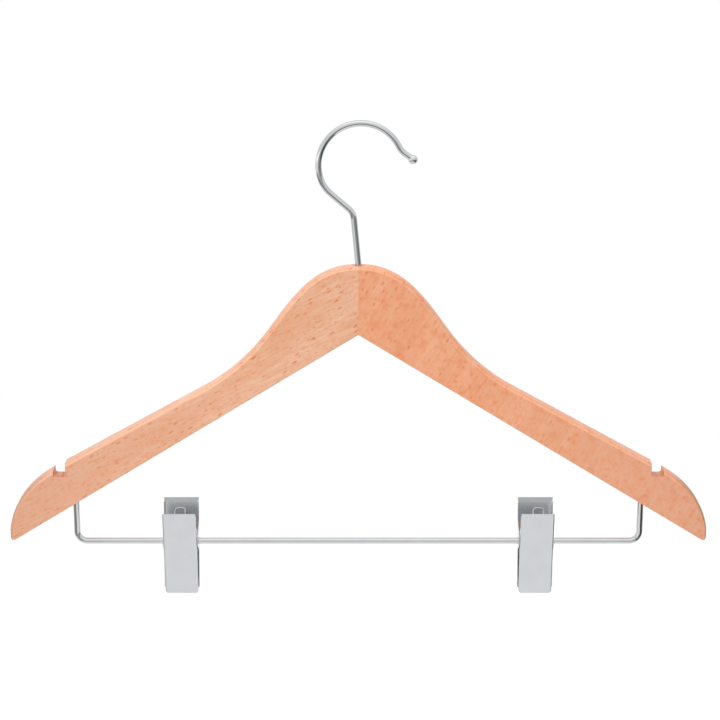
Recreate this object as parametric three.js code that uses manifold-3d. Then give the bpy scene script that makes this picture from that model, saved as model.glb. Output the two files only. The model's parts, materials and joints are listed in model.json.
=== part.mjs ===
// A flat beech skirt hanger: two arms glued at a centre seam, a swivel wire hook, and a wire bar with two
// sprung sheet-metal clips that slide and swing on it. Millimetres, +Z up, +X to the right, the front faces -Y.
// The origin is the seat of the rail: the inside of the hook's crown, on the axis that the hook swivels on.

import * as THREE from 'three';
import { mergeVertices } from 'three/addons/utils/BufferGeometryUtils.js';
import Module from 'manifold-3d';

const wasm = await Module();
wasm.setup();

// Arms
const ARM_SPAN = 445; // tip to tip
const ARM_THICKNESS = 12;
const HEAD_HEIGHT = 43.3; // crotch to the crest of the head
const UNDERSIDE_SLOPE = 31.7; // degrees below level
const SHOULDER_SLOPE = 29.1; // degrees below level
const DOME_REACH = 57.3; // seam to where the dome turns into the hollow of the shoulder
const DOME_DROP = 43.15; // crest to that turning point
const DOME_SLOPE = 53.5; // degrees below level at that turning point
const DOME_CREST_PULL = 28.5;
const DOME_FLANK_PULL = 27.3;
const HOLLOW_RADIUS = 128;
const END_CURVE_LENGTH = 29.5; // tip to where the shoulder starts to fall away
const END_DRAFT = 3.3;
const TIP_HEIGHT = 9;
const TIP_ROUNDING = 4.5;
const TOP_EASING = 2.2;
const UNDERSIDE_EASING = 0.8;

// Strap notches
const NOTCH_FROM_TIP = 32.8;
const NOTCH_WIDTH = 7.4;
const NOTCH_DEPTH = 6.6; // below the shoulder, on the notch's centre line
const NOTCH_CORNER = 1.6;

// Glued seam with two hidden tongues on the right arm
const GLUE_LINE = 0.2;
const TONGUE_LENGTH = 7;
const TONGUE_BORE_WALL = 0.7;
const TONGUE_SKIN = 1.3;

// Swivel hook
const HOOK_WIRE = 4;
const RING_RADIUS = 25.9; // centre line
const RING_OFFSET = 1.6; // ring centre to the axis that the hook swivels on
const LOWER_RING_RADIUS = 19.7;
const LOWER_RING_TURN = 28; // degrees
const MAIN_RING_TURN = 174.7;
const STEM_LEAN = 5.4; // degrees, to the left above the crest
const STEM_BEND_RADIUS = 12;
const STEM_RISE = 28; // from that bend to the neck's bend
const NECK_TURN = 44;
const NECK_RADIUS = 9.7;
const FLICK_TURN = 27.6;
const FLICK_RADIUS = 12.5;
const FLICK_RUN = 5.8;
const BALL_DIAMETER = 5.8;
const SWIVEL_CLEARANCE = 0.3;
const PEENED_DIAMETER = 6.6;
const PEENED_HEIGHT = 2;
const WASHER_DIAMETER = 9;
const WASHER_THICKNESS = 1;
const COUNTERBORE_DEPTH = 5; // above the crotch
const SEAT_GAP = 0.15;

// Clip bar
const BAR_WIRE = 4;
const BAR_LEG_SPACING = 361;
const BAR_BELOW_ARM = 26.8; // underside at the leg to the bar's axis
const BAR_BEND_RADIUS = 6.5;
const BAR_LEG_IN_WOOD = 16;
const BAR_HOLE_CLEARANCE = 0.3;

// Clips
const CLIP_SPACING = 228.4;
const SHEET = 0.5;
const FRONT_JAW_WIDTH = 21.3;
const FRONT_HANDLE = 23.3; // from the bar up along the front jaw
const FRONT_JAW = 34.9; // from the bar down along the front jaw
const BACK_HANDLE = 27.1;
const BACK_JAW = 32.8;
const EAR_GAP = 0.2; // between the nested ears
const FOLD_RADIUS = 1; // outside of a fold
const CORNER_CHAMFER = 1.3;
const EAR_RIM = 2.3; // round the hinge hole
const HINGE_CLEARANCE = 0.3;
const EAR_START = 12.5; // above the bar
const EAR_END = 7.5; // below the bar
const RIM_DEPTH = 1.4; // folded edge of a handle
const RIM_START = 1.6; // below the handle's end
const SKIRT_DEPTH = 2.4; // folded edge of a jaw under the ear
const SKIRT_END_DEPTH = 0.6;

// Grip pads
const PAD_WIDTH = 18.6;
const PAD_HEIGHT = 6.5;
const PAD_THICKNESS = 1.8; // at mid height
const PAD_FROM_END = 0.7; // the shorter jaw's lower end to the pad
const PAD_GLUE = 0.1;
const MOUTH_GAP = 0.3;

// Double torsion springs
const SPRING_WIRE = 1.1;
const COIL_CLEARANCE = 0.95; // bar to the coil
const COIL_TO_JAW = 2.65;
const COIL_PITCH = 1.6;
const COIL_TURNS = 2; // whole turns in each coil
const LOOP_WIDTH = 7.7;
const LOOP_REACH = 18.9; // bar to the loop's top
const LOOP_CORNER = 2;
const LEG_REACH = 13; // bar to the tip of a leg
const SPRING_SEAT_GAP = 0.3;
const LEFT_SPRING_SHIFT = -0.8;
const RIGHT_SPRING_SHIFT = 2;

// Fineness of the facets
const OUTLINE_DIVISIONS = 12;
const EASING_STEPS = 3;
const WIRE_SIDES = 12;
const HOLE_SIDES = 20;
const BEND_STEP = 9; // degrees of bend per facet
const CURL_STEPS = 8;
const CURL_SIDES = 5;
const BALL_SIDES = 16;
const BALL_RINGS = 10;
const GAP_SAMPLES = 4; // per wire diameter, where the spring's gap to itself is measured

// Values that follow from the sizes above
const tipX = ARM_SPAN / 2;
const undersideFall = Math.tan(rad(UNDERSIDE_SLOPE));
const shoulderFall = Math.tan(rad(SHOULDER_SLOPE));
const legX = BAR_LEG_SPACING / 2;
const barZ = -undersideFall * legX - BAR_BELOW_ARM;
const boreRadius = HOOK_WIRE / 2 + SWIVEL_CLEARANCE;
const hingeHole = BAR_WIRE / 2 + HINGE_CLEARANCE;
const earRadius = hingeHole + EAR_RIM;
const coilRadius = BAR_WIRE / 2 + COIL_CLEARANCE + SPRING_WIRE / 2;
const jawInside = coilRadius + SPRING_WIRE / 2 + COIL_TO_JAW; // bar axis to a jaw's inner face
const jawOutside = jawInside + SHEET;
const backJawWidth = FRONT_JAW_WIDTH + 2 * (EAR_GAP + SHEET);
const padLow = PAD_FROM_END - Math.min(FRONT_JAW, BACK_JAW);
const padMiddle = -padLow - PAD_HEIGHT / 2;
const jawLean = leanThatMeets(PAD_THICKNESS + PAD_GLUE + MOUTH_GAP / 2);
const clear = 2 * ARM_THICKNESS; // how far a cutter runs past what it cuts

function rad(degrees) {
  return THREE.MathUtils.degToRad(degrees);
}

// The lean, in radians, that brings a jaw's inner face within this distance of the mouth at the pad's middle.
function leanThatMeets(distance) {
  return Math.acos(distance / Math.hypot(jawInside, padMiddle)) - Math.atan2(padMiddle, jawInside);
}

// A closed three.js geometry as a solid for joining and cutting.
function solid(geometry) {
  const bare = geometry.clone();
  bare.deleteAttribute('normal');
  bare.deleteAttribute('uv');
  const merged = mergeVertices(bare, 1e-4);
  const vertProperties = new Float32Array(merged.attributes.position.array);
  const triVerts = new Uint32Array(merged.index.array);
  return new wasm.Manifold(new wasm.Mesh({ numProp: 3, vertProperties, triVerts }));
}

function geometryOf(body) {
  const mesh = body.getMesh();
  const geometry = new THREE.BufferGeometry();
  geometry.setAttribute('position', new THREE.BufferAttribute(new Float32Array(mesh.vertProperties), 3));
  geometry.setIndex(new THREE.BufferAttribute(new Uint32Array(mesh.triVerts), 1));
  geometry.computeVertexNormals();
  return geometry;
}

function box(x0, x1, y0, y1, z0, z1) {
  const geometry = new THREE.BoxGeometry(x1 - x0, y1 - y0, z1 - z0);
  geometry.translate((x0 + x1) / 2, (y0 + y1) / 2, (z0 + z1) / 2);
  return solid(geometry);
}

// An upright round bar, and one that lies along X.
function post(radius, x, z0, z1) {
  const geometry = new THREE.CylinderGeometry(radius, radius, z1 - z0, HOLE_SIDES);
  geometry.rotateX(Math.PI / 2);
  geometry.translate(x, 0, (z0 + z1) / 2);
  return solid(geometry);
}

function crossBar(radius, length) {
  const geometry = new THREE.CylinderGeometry(radius, radius, length, HOLE_SIDES);
  geometry.rotateZ(Math.PI / 2);
  return solid(geometry);
}

// A front-view outline (x, z) made as thick as the wood, with its edges eased by a radius.
function board(shape, easing) {
  const geometry = new THREE.ExtrudeGeometry(shape, {
    depth: ARM_THICKNESS - 2 * easing,
    bevelThickness: easing,
    bevelSize: easing,
    bevelOffset: -easing,
    bevelSegments: EASING_STEPS,
    curveSegments: OUTLINE_DIVISIONS,
  });
  geometry.translate(0, 0, easing - ARM_THICKNESS / 2);
  geometry.rotateX(Math.PI / 2);
  return solid(geometry);
}

// A front-view outline (x, z) pushed right through, from y0 to y1.
function frontCut(shape, y0, y1) {
  const geometry = new THREE.ExtrudeGeometry(shape, {
    depth: y1 - y0,
    bevelEnabled: false,
    curveSegments: OUTLINE_DIVISIONS,
  });
  geometry.rotateX(Math.PI / 2);
  geometry.translate(0, y1, 0);
  return solid(geometry);
}

// A side-view outline (y, z) of a given width, centred on X.
function sideCut(shape, width) {
  const geometry = new THREE.ExtrudeGeometry(shape, {
    depth: width,
    bevelEnabled: false,
    curveSegments: OUTLINE_DIVISIONS,
  });
  geometry.translate(0, 0, -width / 2);
  const sideways = new THREE.Matrix4().makeBasis(
    new THREE.Vector3(0, 1, 0),
    new THREE.Vector3(0, 0, 1),
    new THREE.Vector3(1, 0, 0),
  );
  geometry.applyMatrix4(sideways);
  return solid(geometry);
}

// A wire's centre line as stations, each a point and the direction of the wire there.
class WireForm extends THREE.Curve {
  constructor(stations) {
    super();
    this.stations = stations;
  }

  at(u) {
    return this.stations[Math.round(u * (this.stations.length - 1))];
  }

  getPoint(t, target = new THREE.Vector3()) {
    return target.copy(this.at(t).point);
  }

  getPointAt(u, target = new THREE.Vector3()) {
    return target.copy(this.at(u).point);
  }

  getTangentAt(u, target = new THREE.Vector3()) {
    return target.copy(this.at(u).tangent);
  }
}

function wire(stations, diameter, sides) {
  const section = new THREE.Shape();
  for (let side = 0; side < sides; side += 1) {
    const angle = (2 * Math.PI * side) / sides;
    const corner = [(diameter / 2) * Math.cos(angle), (diameter / 2) * Math.sin(angle)];
    if (side === 0) section.moveTo(...corner);
    else section.lineTo(...corner);
  }
  section.closePath();
  return new THREE.ExtrudeGeometry(section, {
    steps: stations.length - 1,
    extrudePath: new WireForm(stations),
  });
}

// Bends a wire in the hanger's plane as a forming machine does: straight runs, and turns of a radius.
// A turn is in degrees, positive to the left of the way the wire is heading.
function bendWire(startX, startZ, startHeading, moves) {
  let x = startX;
  let z = startZ;
  let heading = rad(startHeading);
  const stations = [];
  const note = () => {
    stations.push({
      point: new THREE.Vector3(x, 0, z),
      tangent: new THREE.Vector3(Math.cos(heading), 0, Math.sin(heading)),
    });
  };
  note();
  for (const move of moves) {
    if (move.run) {
      x += move.run * Math.cos(heading);
      z += move.run * Math.sin(heading);
      note();
      continue;
    }
    const steps = Math.ceil(Math.abs(move.turn) / BEND_STEP);
    const side = Math.sign(move.turn);
    const centreX = x - side * move.radius * Math.sin(heading);
    const centreZ = z + side * move.radius * Math.cos(heading);
    for (let step = 0; step < steps; step += 1) {
      heading += rad(move.turn / steps);
      x = centreX + side * move.radius * Math.sin(heading);
      z = centreZ - side * move.radius * Math.cos(heading);
      note();
    }
  }
  return stations;
}

// The shoulder: a straight line that the hollow under the dome runs out into.
const hollowCentre = {
  x: DOME_REACH + HOLLOW_RADIUS * Math.sin(rad(DOME_SLOPE)),
  z: HEAD_HEIGHT - DOME_DROP + HOLLOW_RADIUS * Math.cos(rad(DOME_SLOPE)),
};
const shoulderStart = {
  x: hollowCentre.x - HOLLOW_RADIUS * Math.sin(rad(SHOULDER_SLOPE)),
  z: hollowCentre.z - HOLLOW_RADIUS * Math.cos(rad(SHOULDER_SLOPE)),
};

function shoulderZ(x) {
  return shoulderStart.z - shoulderFall * (x - shoulderStart.x);
}

function undersideZ(x) {
  return -undersideFall * x;
}

// Mirrors the points of a right-hand outline, which starts and ends on the seam, to make the whole outline.
function mirrored(right) {
  const points = right.getPoints(OUTLINE_DIVISIONS);
  const left = points.map((p) => new THREE.Vector2(-p.x, p.y)).reverse();
  return new THREE.Shape([...points, ...left.slice(1, -1)]);
}

// The shaped top of both arms: dome, hollow, straight shoulder and rounded end, with wood to spare below.
function topOutline() {
  const crest = HEAD_HEIGHT;
  const turnZ = crest - DOME_DROP;
  const endX = tipX - END_CURVE_LENGTH;
  const draftX = tipX - END_DRAFT;
  const right = new THREE.Path();
  right.moveTo(0, crest);
  right.bezierCurveTo(
    DOME_CREST_PULL,
    crest,
    DOME_REACH - DOME_FLANK_PULL * Math.cos(rad(DOME_SLOPE)),
    turnZ + DOME_FLANK_PULL * Math.sin(rad(DOME_SLOPE)),
    DOME_REACH,
    turnZ,
  );
  right.absarc(
    hollowCentre.x,
    hollowCentre.z,
    HOLLOW_RADIUS,
    rad(270 - DOME_SLOPE),
    rad(270 - SHOULDER_SLOPE),
    false,
  );
  right.lineTo(endX, shoulderZ(endX));
  right.quadraticCurveTo(draftX, shoulderZ(draftX), tipX, undersideZ(tipX) + TIP_HEIGHT);
  right.lineTo(tipX, undersideZ(tipX) - clear);
  right.lineTo(0, -clear);
  return mirrored(right);
}

// The underside of both arms: the crotch, the straight lower edges and the rounded tips, with wood to spare above.
function undersideOutline() {
  const outX = tipX + GLUE_LINE;
  const right = new THREE.Path();
  right.moveTo(0, HEAD_HEIGHT + clear);
  right.lineTo(outX, HEAD_HEIGHT + clear);
  right.lineTo(outX, undersideZ(outX) + TIP_ROUNDING);
  right.quadraticCurveTo(
    outX,
    undersideZ(outX),
    outX - TIP_ROUNDING * Math.cos(rad(UNDERSIDE_SLOPE)),
    undersideZ(outX) + TIP_ROUNDING * Math.sin(rad(UNDERSIDE_SLOPE)),
  );
  right.lineTo(0, 0);
  return mirrored(right);
}

function notchCutter(side) {
  const x = tipX - NOTCH_FROM_TIP;
  const floor = shoulderZ(x) - NOTCH_DEPTH;
  const half = NOTCH_WIDTH / 2;
  const top = floor + clear;
  const shape = new THREE.Shape();
  shape.moveTo(side * x + half, top);
  shape.lineTo(side * x - half, top);
  shape.lineTo(side * x - half, floor + NOTCH_CORNER);
  shape.absarc(side * x - half + NOTCH_CORNER, floor + NOTCH_CORNER, NOTCH_CORNER, Math.PI, 1.5 * Math.PI);
  shape.absarc(side * x + half - NOTCH_CORNER, floor + NOTCH_CORNER, NOTCH_CORNER, 1.5 * Math.PI, 2 * Math.PI);
  shape.closePath();
  return frontCut(shape, -clear, clear);
}

// Two tongues, one before and one behind the hook's bore; grown by a glue line they are the grooves.
function tongues(growth) {
  const inner = boreRadius + TONGUE_BORE_WALL - growth;
  const outer = ARM_THICKNESS / 2 - TONGUE_SKIN + growth;
  const reach = TONGUE_LENGTH + growth;
  const height = HEAD_HEIGHT + clear;
  const front = box(-reach, TONGUE_LENGTH, -outer, -inner, -clear, height);
  const back = box(-reach, TONGUE_LENGTH, inner, outer, -clear, height);
  return front.add(back);
}

function buildArms() {
  const legTop = undersideZ(legX) + BAR_LEG_IN_WOOD;
  const holeRadius = BAR_WIRE / 2 + BAR_HOLE_CLEARANCE;
  const washerSpace = WASHER_DIAMETER / 2 + SWIVEL_CLEARANCE;
  let wood = board(topOutline(), TOP_EASING).intersect(board(undersideOutline(), UNDERSIDE_EASING));
  wood = wood.subtract(post(boreRadius, 0, -clear, HEAD_HEIGHT + clear));
  wood = wood.subtract(post(washerSpace, 0, -clear, COUNTERBORE_DEPTH));
  for (const side of [-1, 1]) {
    wood = wood.subtract(notchCutter(side));
    wood = wood.subtract(post(holeRadius, side * legX, barZ - clear, legTop + BAR_HOLE_CLEARANCE));
  }
  const low = undersideZ(tipX) - clear;
  const high = HEAD_HEIGHT + clear;
  const leftSide = box(-tipX - clear, -GLUE_LINE / 2, -clear, clear, low, high);
  const rightSide = box(GLUE_LINE / 2, tipX + clear, -clear, clear, low, high);
  const left = wood.intersect(leftSide).subtract(tongues(GLUE_LINE));
  const right = wood.intersect(rightSide.add(tongues(0)));
  return { left: geometryOf(left), right: geometryOf(right) };
}

// The hook's lower end is headed over under the washer, which bears on the counterbore's floor.
const washerTop = COUNTERBORE_DEPTH - SEAT_GAP;
const peenTop = washerTop - WASHER_THICKNESS - SEAT_GAP;
const stemBottom = peenTop - PEENED_HEIGHT / 2;
const stemLean = rad(STEM_LEAN);
const neckLean = rad(STEM_LEAN + NECK_TURN);
const upperLean = rad(STEM_LEAN + NECK_TURN - LOWER_RING_TURN);
const widening = RING_RADIUS - LOWER_RING_RADIUS;
const neckRun = (
  (NECK_RADIUS + LOWER_RING_RADIUS) * Math.cos(neckLean)
  + widening * Math.cos(upperLean)
  - NECK_RADIUS * Math.cos(stemLean)
  - STEM_RISE * Math.sin(stemLean)
  - STEM_BEND_RADIUS * (1 - Math.cos(stemLean))
  - RING_OFFSET
) / Math.sin(neckLean);
const ringCentreZ = HEAD_HEIGHT
  + (STEM_BEND_RADIUS - NECK_RADIUS) * Math.sin(stemLean)
  + STEM_RISE * Math.cos(stemLean)
  + (NECK_RADIUS + LOWER_RING_RADIUS) * Math.sin(neckLean)
  + neckRun * Math.cos(neckLean)
  + widening * Math.sin(upperLean);
const railSeatZ = ringCentreZ + Math.sqrt((RING_RADIUS - HOOK_WIRE / 2) ** 2 - RING_OFFSET ** 2);

function buildHook() {
  const stations = bendWire(0, stemBottom, 90, [
    { run: HEAD_HEIGHT - stemBottom },
    { turn: STEM_LEAN, radius: STEM_BEND_RADIUS },
    { run: STEM_RISE },
    { turn: NECK_TURN, radius: NECK_RADIUS },
    { run: neckRun },
    { turn: -LOWER_RING_TURN, radius: LOWER_RING_RADIUS },
    { turn: -MAIN_RING_TURN, radius: RING_RADIUS },
    { turn: FLICK_TURN, radius: FLICK_RADIUS },
    { run: FLICK_RUN },
  ]);
  const tip = stations[stations.length - 1].point;
  const ball = new THREE.SphereGeometry(BALL_DIAMETER / 2, BALL_SIDES, BALL_RINGS);
  ball.translate(tip.x, tip.y, tip.z);
  const dome = new THREE.EllipseCurve(0, peenTop, PEENED_DIAMETER / 2, PEENED_HEIGHT, -Math.PI / 2, 0);
  const profile = dome.getPoints(EASING_STEPS);
  profile[0].x = 0;
  const peen = new THREE.LatheGeometry([...profile, new THREE.Vector2(0, peenTop)], HOLE_SIDES);
  peen.rotateX(Math.PI / 2);
  const formed = solid(wire(stations, HOOK_WIRE, WIRE_SIDES));
  return geometryOf(formed.add(solid(ball)).add(solid(peen)));
}

function buildWasher() {
  const ring = post(WASHER_DIAMETER / 2, 0, washerTop - WASHER_THICKNESS, washerTop);
  return geometryOf(ring.subtract(post(boreRadius, 0, washerTop - clear, washerTop + clear)));
}

function buildBar() {
  const legRun = undersideZ(legX) + BAR_LEG_IN_WOOD - barZ - BAR_BEND_RADIUS;
  return wire(bendWire(-legX, barZ + BAR_BEND_RADIUS + legRun, -90, [
    { run: legRun },
    { turn: 90, radius: BAR_BEND_RADIUS },
    { run: BAR_LEG_SPACING - 2 * BAR_BEND_RADIUS },
    { turn: 90, radius: BAR_BEND_RADIUS },
    { run: legRun },
  ]), BAR_WIRE, WIRE_SIDES);
}

// A jaw stands upright here, with its outer face to the front and the bar's axis at the origin.
// The folded sheet: a plate and two side walls with rounded folds.
function channelSection(width) {
  const half = width / 2;
  const reach = earRadius + SHEET;
  const inner = FOLD_RADIUS - SHEET;
  const shape = new THREE.Shape();
  shape.moveTo(-half, reach);
  shape.lineTo(-half, FOLD_RADIUS - jawOutside);
  shape.absarc(FOLD_RADIUS - half, FOLD_RADIUS - jawOutside, FOLD_RADIUS, Math.PI, 1.5 * Math.PI);
  shape.absarc(half - FOLD_RADIUS, FOLD_RADIUS - jawOutside, FOLD_RADIUS, 1.5 * Math.PI, 2 * Math.PI);
  shape.lineTo(half, reach);
  shape.lineTo(half - SHEET, reach);
  shape.absarc(half - FOLD_RADIUS, FOLD_RADIUS - jawOutside, inner, 2 * Math.PI, 1.5 * Math.PI, true);
  shape.absarc(FOLD_RADIUS - half, FOLD_RADIUS - jawOutside, inner, 1.5 * Math.PI, Math.PI, true);
  shape.lineTo(SHEET - half, reach);
  shape.closePath();
  return shape;
}

// Where a line from a point touches the ear's round end, as an angle; the side is 1 above and -1 below.
function earTouch(y, z, side) {
  return Math.atan2(z, y) - side * Math.acos(earRadius / Math.hypot(y, z));
}

// Side view of a jaw: folded rim on the handle, an ear round the bar, and a tapering skirt below it.
function jawProfile(handle, jaw) {
  const rimY = RIM_DEPTH - jawInside;
  const skirtY = SKIRT_DEPTH - jawInside;
  const skirtEndY = SKIRT_END_DEPTH - jawInside;
  const shape = new THREE.Shape();
  shape.moveTo(-jawOutside, -jaw);
  shape.lineTo(skirtEndY, -jaw);
  shape.lineTo(skirtY, -EAR_END);
  shape.absarc(0, 0, earRadius, earTouch(skirtY, -EAR_END, -1), earTouch(rimY, EAR_START, 1), false);
  shape.lineTo(rimY, EAR_START);
  shape.lineTo(rimY, handle - RIM_START - RIM_DEPTH);
  shape.lineTo(-jawInside, handle - RIM_START);
  shape.lineTo(-jawInside, handle);
  shape.lineTo(-jawOutside, handle);
  shape.closePath();
  return shape;
}

// Front view of a jaw, with its lower corners nipped off.
function jawFace(width, handle, jaw) {
  const half = width / 2;
  const shape = new THREE.Shape();
  shape.moveTo(-half, handle);
  shape.lineTo(-half, CORNER_CHAMFER - jaw);
  shape.lineTo(CORNER_CHAMFER - half, -jaw);
  shape.lineTo(half - CORNER_CHAMFER, -jaw);
  shape.lineTo(half, CORNER_CHAMFER - jaw);
  shape.lineTo(half, handle);
  shape.closePath();
  return shape;
}

function buildJaw(width, handle, jaw) {
  const channel = new THREE.ExtrudeGeometry(channelSection(width), {
    depth: handle + jaw,
    bevelEnabled: false,
    curveSegments: EASING_STEPS,
  });
  channel.translate(0, 0, -jaw);
  const folded = solid(channel)
    .intersect(sideCut(jawProfile(handle, jaw), width + clear))
    .intersect(frontCut(jawFace(width, handle, jaw), -clear, clear))
    .subtract(crossBar(hingeHole, width + clear));
  return geometryOf(folded);
}

// A pad fills the wedge between a jaw and the mouth, so that the two pads meet face to face.
function buildPad() {
  const high = padLow + PAD_HEIGHT;
  const mouthY = (z) => (z * Math.sin(jawLean) - MOUTH_GAP / 2) / Math.cos(jawLean);
  const shape = new THREE.Shape();
  shape.moveTo(PAD_GLUE - jawInside, padLow);
  shape.lineTo(mouthY(padLow), padLow);
  shape.lineTo(mouthY(high), high);
  shape.lineTo(PAD_GLUE - jawInside, high);
  shape.closePath();
  return geometryOf(sideCut(shape, PAD_WIDTH));
}

// Half of the spring, from the tip of its leg on the front jaw to the middle of its loop on the back jaw.
function halfSpring() {
  const rest = SPRING_WIRE / 2 + SPRING_SEAT_GAP;
  const inward = jawInside - rest;
  const onJaw = (reach) => inward / Math.cos(jawLean) + reach * Math.tan(jawLean);
  const legY = -onJaw(LEG_REACH);
  const loopY = onJaw(LOOP_REACH);
  const legTouch = Math.atan2(LEG_REACH, legY) + Math.acos(coilRadius / Math.hypot(legY, LEG_REACH));
  const loopTouch = Math.atan2(LOOP_REACH, loopY) - Math.acos(coilRadius / Math.hypot(loopY, LOOP_REACH));
  const sweep = loopTouch + 2 * Math.PI * (COIL_TURNS + 1) - legTouch;
  const steps = Math.ceil((sweep / (2 * Math.PI)) * CURL_STEPS);
  const loopX = (LOOP_WIDTH - SPRING_WIRE) / 2;
  const coilLength = (COIL_PITCH * sweep) / (2 * Math.PI);
  const points = [new THREE.Vector3(-loopX - coilLength, legY, LEG_REACH)];
  for (let step = 0; step <= steps; step += 1) {
    const share = step / steps;
    const angle = legTouch + sweep * share;
    points.push(new THREE.Vector3(
      -loopX - coilLength * (1 - share),
      coilRadius * Math.cos(angle),
      coilRadius * Math.sin(angle),
    ));
  }
  const top = new THREE.Vector3(-loopX, loopY, LOOP_REACH);
  const rise = top.clone().sub(points[points.length - 1]).normalize();
  for (const degrees of [0, 30, 60, 90]) {
    const across = LOOP_CORNER * (1 - Math.cos(rad(degrees)));
    const short = LOOP_CORNER * (1 - Math.sin(rad(degrees)));
    points.push(top.clone().addScaledVector(rise, -short).add(new THREE.Vector3(across, 0, 0)));
  }
  return points;
}

function springPoints() {
  const left = halfSpring();
  const right = left.map((p) => new THREE.Vector3(-p.x, p.y, p.z)).reverse();
  return [...left, ...right];
}

// Each station's direction bisects the two runs of wire that meet there.
function stationsAlong(points) {
  return points.map((point, index) => {
    const before = points[Math.max(index - 1, 0)];
    const after = points[Math.min(index + 1, points.length - 1)];
    const arriving = point.clone().sub(before).normalize();
    const leaving = after.clone().sub(point).normalize();
    return { point, tangent: arriving.add(leaving).normalize() };
  });
}

// The least clear distance between parts of the wire that lie more than half a curl apart along it.
function leastGap(points, diameter) {
  const samples = [];
  let travelled = 0;
  for (let index = 1; index < points.length; index += 1) {
    const length = points[index].distanceTo(points[index - 1]);
    const count = Math.ceil((GAP_SAMPLES * length) / diameter);
    for (let step = 0; step < count; step += 1) {
      const point = points[index - 1].clone().lerp(points[index], step / count);
      samples.push({ point, at: travelled + (length * step) / count });
    }
    travelled += length;
  }
  let least = Infinity;
  for (const a of samples) {
    for (const b of samples) {
      if (b.at - a.at > Math.PI * coilRadius) least = Math.min(least, a.point.distanceTo(b.point) - diameter);
    }
  }
  return least;
}

function buildSpring(shift) {
  const geometry = wire(stationsAlong(springPoints()), SPRING_WIRE, CURL_SIDES);
  geometry.translate(shift, 0, 0);
  return geometry;
}

// Finishes
const paleBeech = new THREE.MeshStandardMaterial({ color: 0xe9b892, roughness: 0.5, metalness: 0 });
const warmBeech = new THREE.MeshStandardMaterial({ color: 0xeda97d, roughness: 0.5, metalness: 0 });
const chromedWire = new THREE.MeshStandardMaterial({ color: 0xc9cdcf, roughness: 0.15, metalness: 1 });
const chromedSheet = new THREE.MeshStandardMaterial({ color: 0xc6c8ca, roughness: 0.3, metalness: 1 });
const springSteel = new THREE.MeshStandardMaterial({ color: 0xa9acae, roughness: 0.3, metalness: 1 });
const gripRubber = new THREE.MeshStandardMaterial({ color: 0xcdbfa8, roughness: 0.8, metalness: 0 });

function part(name, geometry, material) {
  const mesh = new THREE.Mesh(geometry, material);
  mesh.name = name;
  return mesh;
}

// One clip, with the bar's axis at its origin. The back jaw is a front jaw turned half round, so that its
// outer face looks back; each jaw leans so that the mouths meet.
function buildClip(side, springShift) {
  const front = new THREE.Group();
  front.add(part(`${side}_clip_front_jaw`, buildJaw(FRONT_JAW_WIDTH, FRONT_HANDLE, FRONT_JAW), chromedSheet));
  front.add(part(`${side}_clip_front_pad`, buildPad(), gripRubber));
  front.rotation.x = jawLean;

  const back = new THREE.Group();
  back.add(part(`${side}_clip_back_jaw`, buildJaw(backJawWidth, BACK_HANDLE, BACK_JAW), chromedSheet));
  back.add(part(`${side}_clip_back_pad`, buildPad(), gripRubber));
  back.rotation.set(jawLean, 0, Math.PI, 'ZXY');

  const clip = new THREE.Group();
  clip.add(front, back, part(`${side}_clip_spring`, buildSpring(springShift), springSteel));
  return clip;
}

const arms = buildArms();
const hanger = new THREE.Group();
hanger.add(
  part('left_arm', arms.left, paleBeech),
  part('right_arm', arms.right, warmBeech),
  part('swivel_hook', buildHook(), chromedWire),
  part('hook_washer', buildWasher(), springSteel),
  part('clip_bar', buildBar(), chromedWire),
);

const leftClip = buildClip('left', LEFT_SPRING_SHIFT);
leftClip.position.set(-CLIP_SPACING / 2, 0, barZ);
const rightClip = buildClip('right', RIGHT_SPRING_SHIFT);
rightClip.position.set(CLIP_SPACING / 2, 0, barZ);
hanger.add(leftClip, rightClip);
hanger.position.z = -railSeatZ;

console.log(`spring: least gap to itself ${leastGap(springPoints(), SPRING_WIRE).toFixed(2)} mm`);

const skirtHanger = new THREE.Group();
skirtHanger.name = 'skirt_hanger';
skirtHanger.add(hanger);

export default skirtHanger;
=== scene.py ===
# A beech skirt hanger: two arms glued at a seam, a swivel hook of chromed wire, and a wire bar that carries
# two sprung sheet-metal clips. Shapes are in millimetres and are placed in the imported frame, in metres.

import json
import math

import bmesh
import bpy
from mathutils import Matrix, Vector


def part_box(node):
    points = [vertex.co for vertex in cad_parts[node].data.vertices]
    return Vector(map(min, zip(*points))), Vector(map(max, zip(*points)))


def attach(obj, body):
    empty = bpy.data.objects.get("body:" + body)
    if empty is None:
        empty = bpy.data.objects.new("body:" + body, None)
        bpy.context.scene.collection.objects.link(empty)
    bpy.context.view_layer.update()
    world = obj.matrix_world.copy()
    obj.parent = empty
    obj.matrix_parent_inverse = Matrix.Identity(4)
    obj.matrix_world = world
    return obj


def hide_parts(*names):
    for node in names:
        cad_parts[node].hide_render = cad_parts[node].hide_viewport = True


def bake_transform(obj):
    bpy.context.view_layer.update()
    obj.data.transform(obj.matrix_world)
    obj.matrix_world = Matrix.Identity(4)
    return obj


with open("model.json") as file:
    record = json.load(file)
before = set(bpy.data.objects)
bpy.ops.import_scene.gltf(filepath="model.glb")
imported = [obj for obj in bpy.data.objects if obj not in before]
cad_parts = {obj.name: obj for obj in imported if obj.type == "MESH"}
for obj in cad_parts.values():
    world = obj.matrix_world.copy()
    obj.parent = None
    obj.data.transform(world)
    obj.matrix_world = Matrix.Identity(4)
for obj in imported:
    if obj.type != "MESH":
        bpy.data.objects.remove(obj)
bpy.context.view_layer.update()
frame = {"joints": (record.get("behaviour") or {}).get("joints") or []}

MM = 0.001

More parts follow.
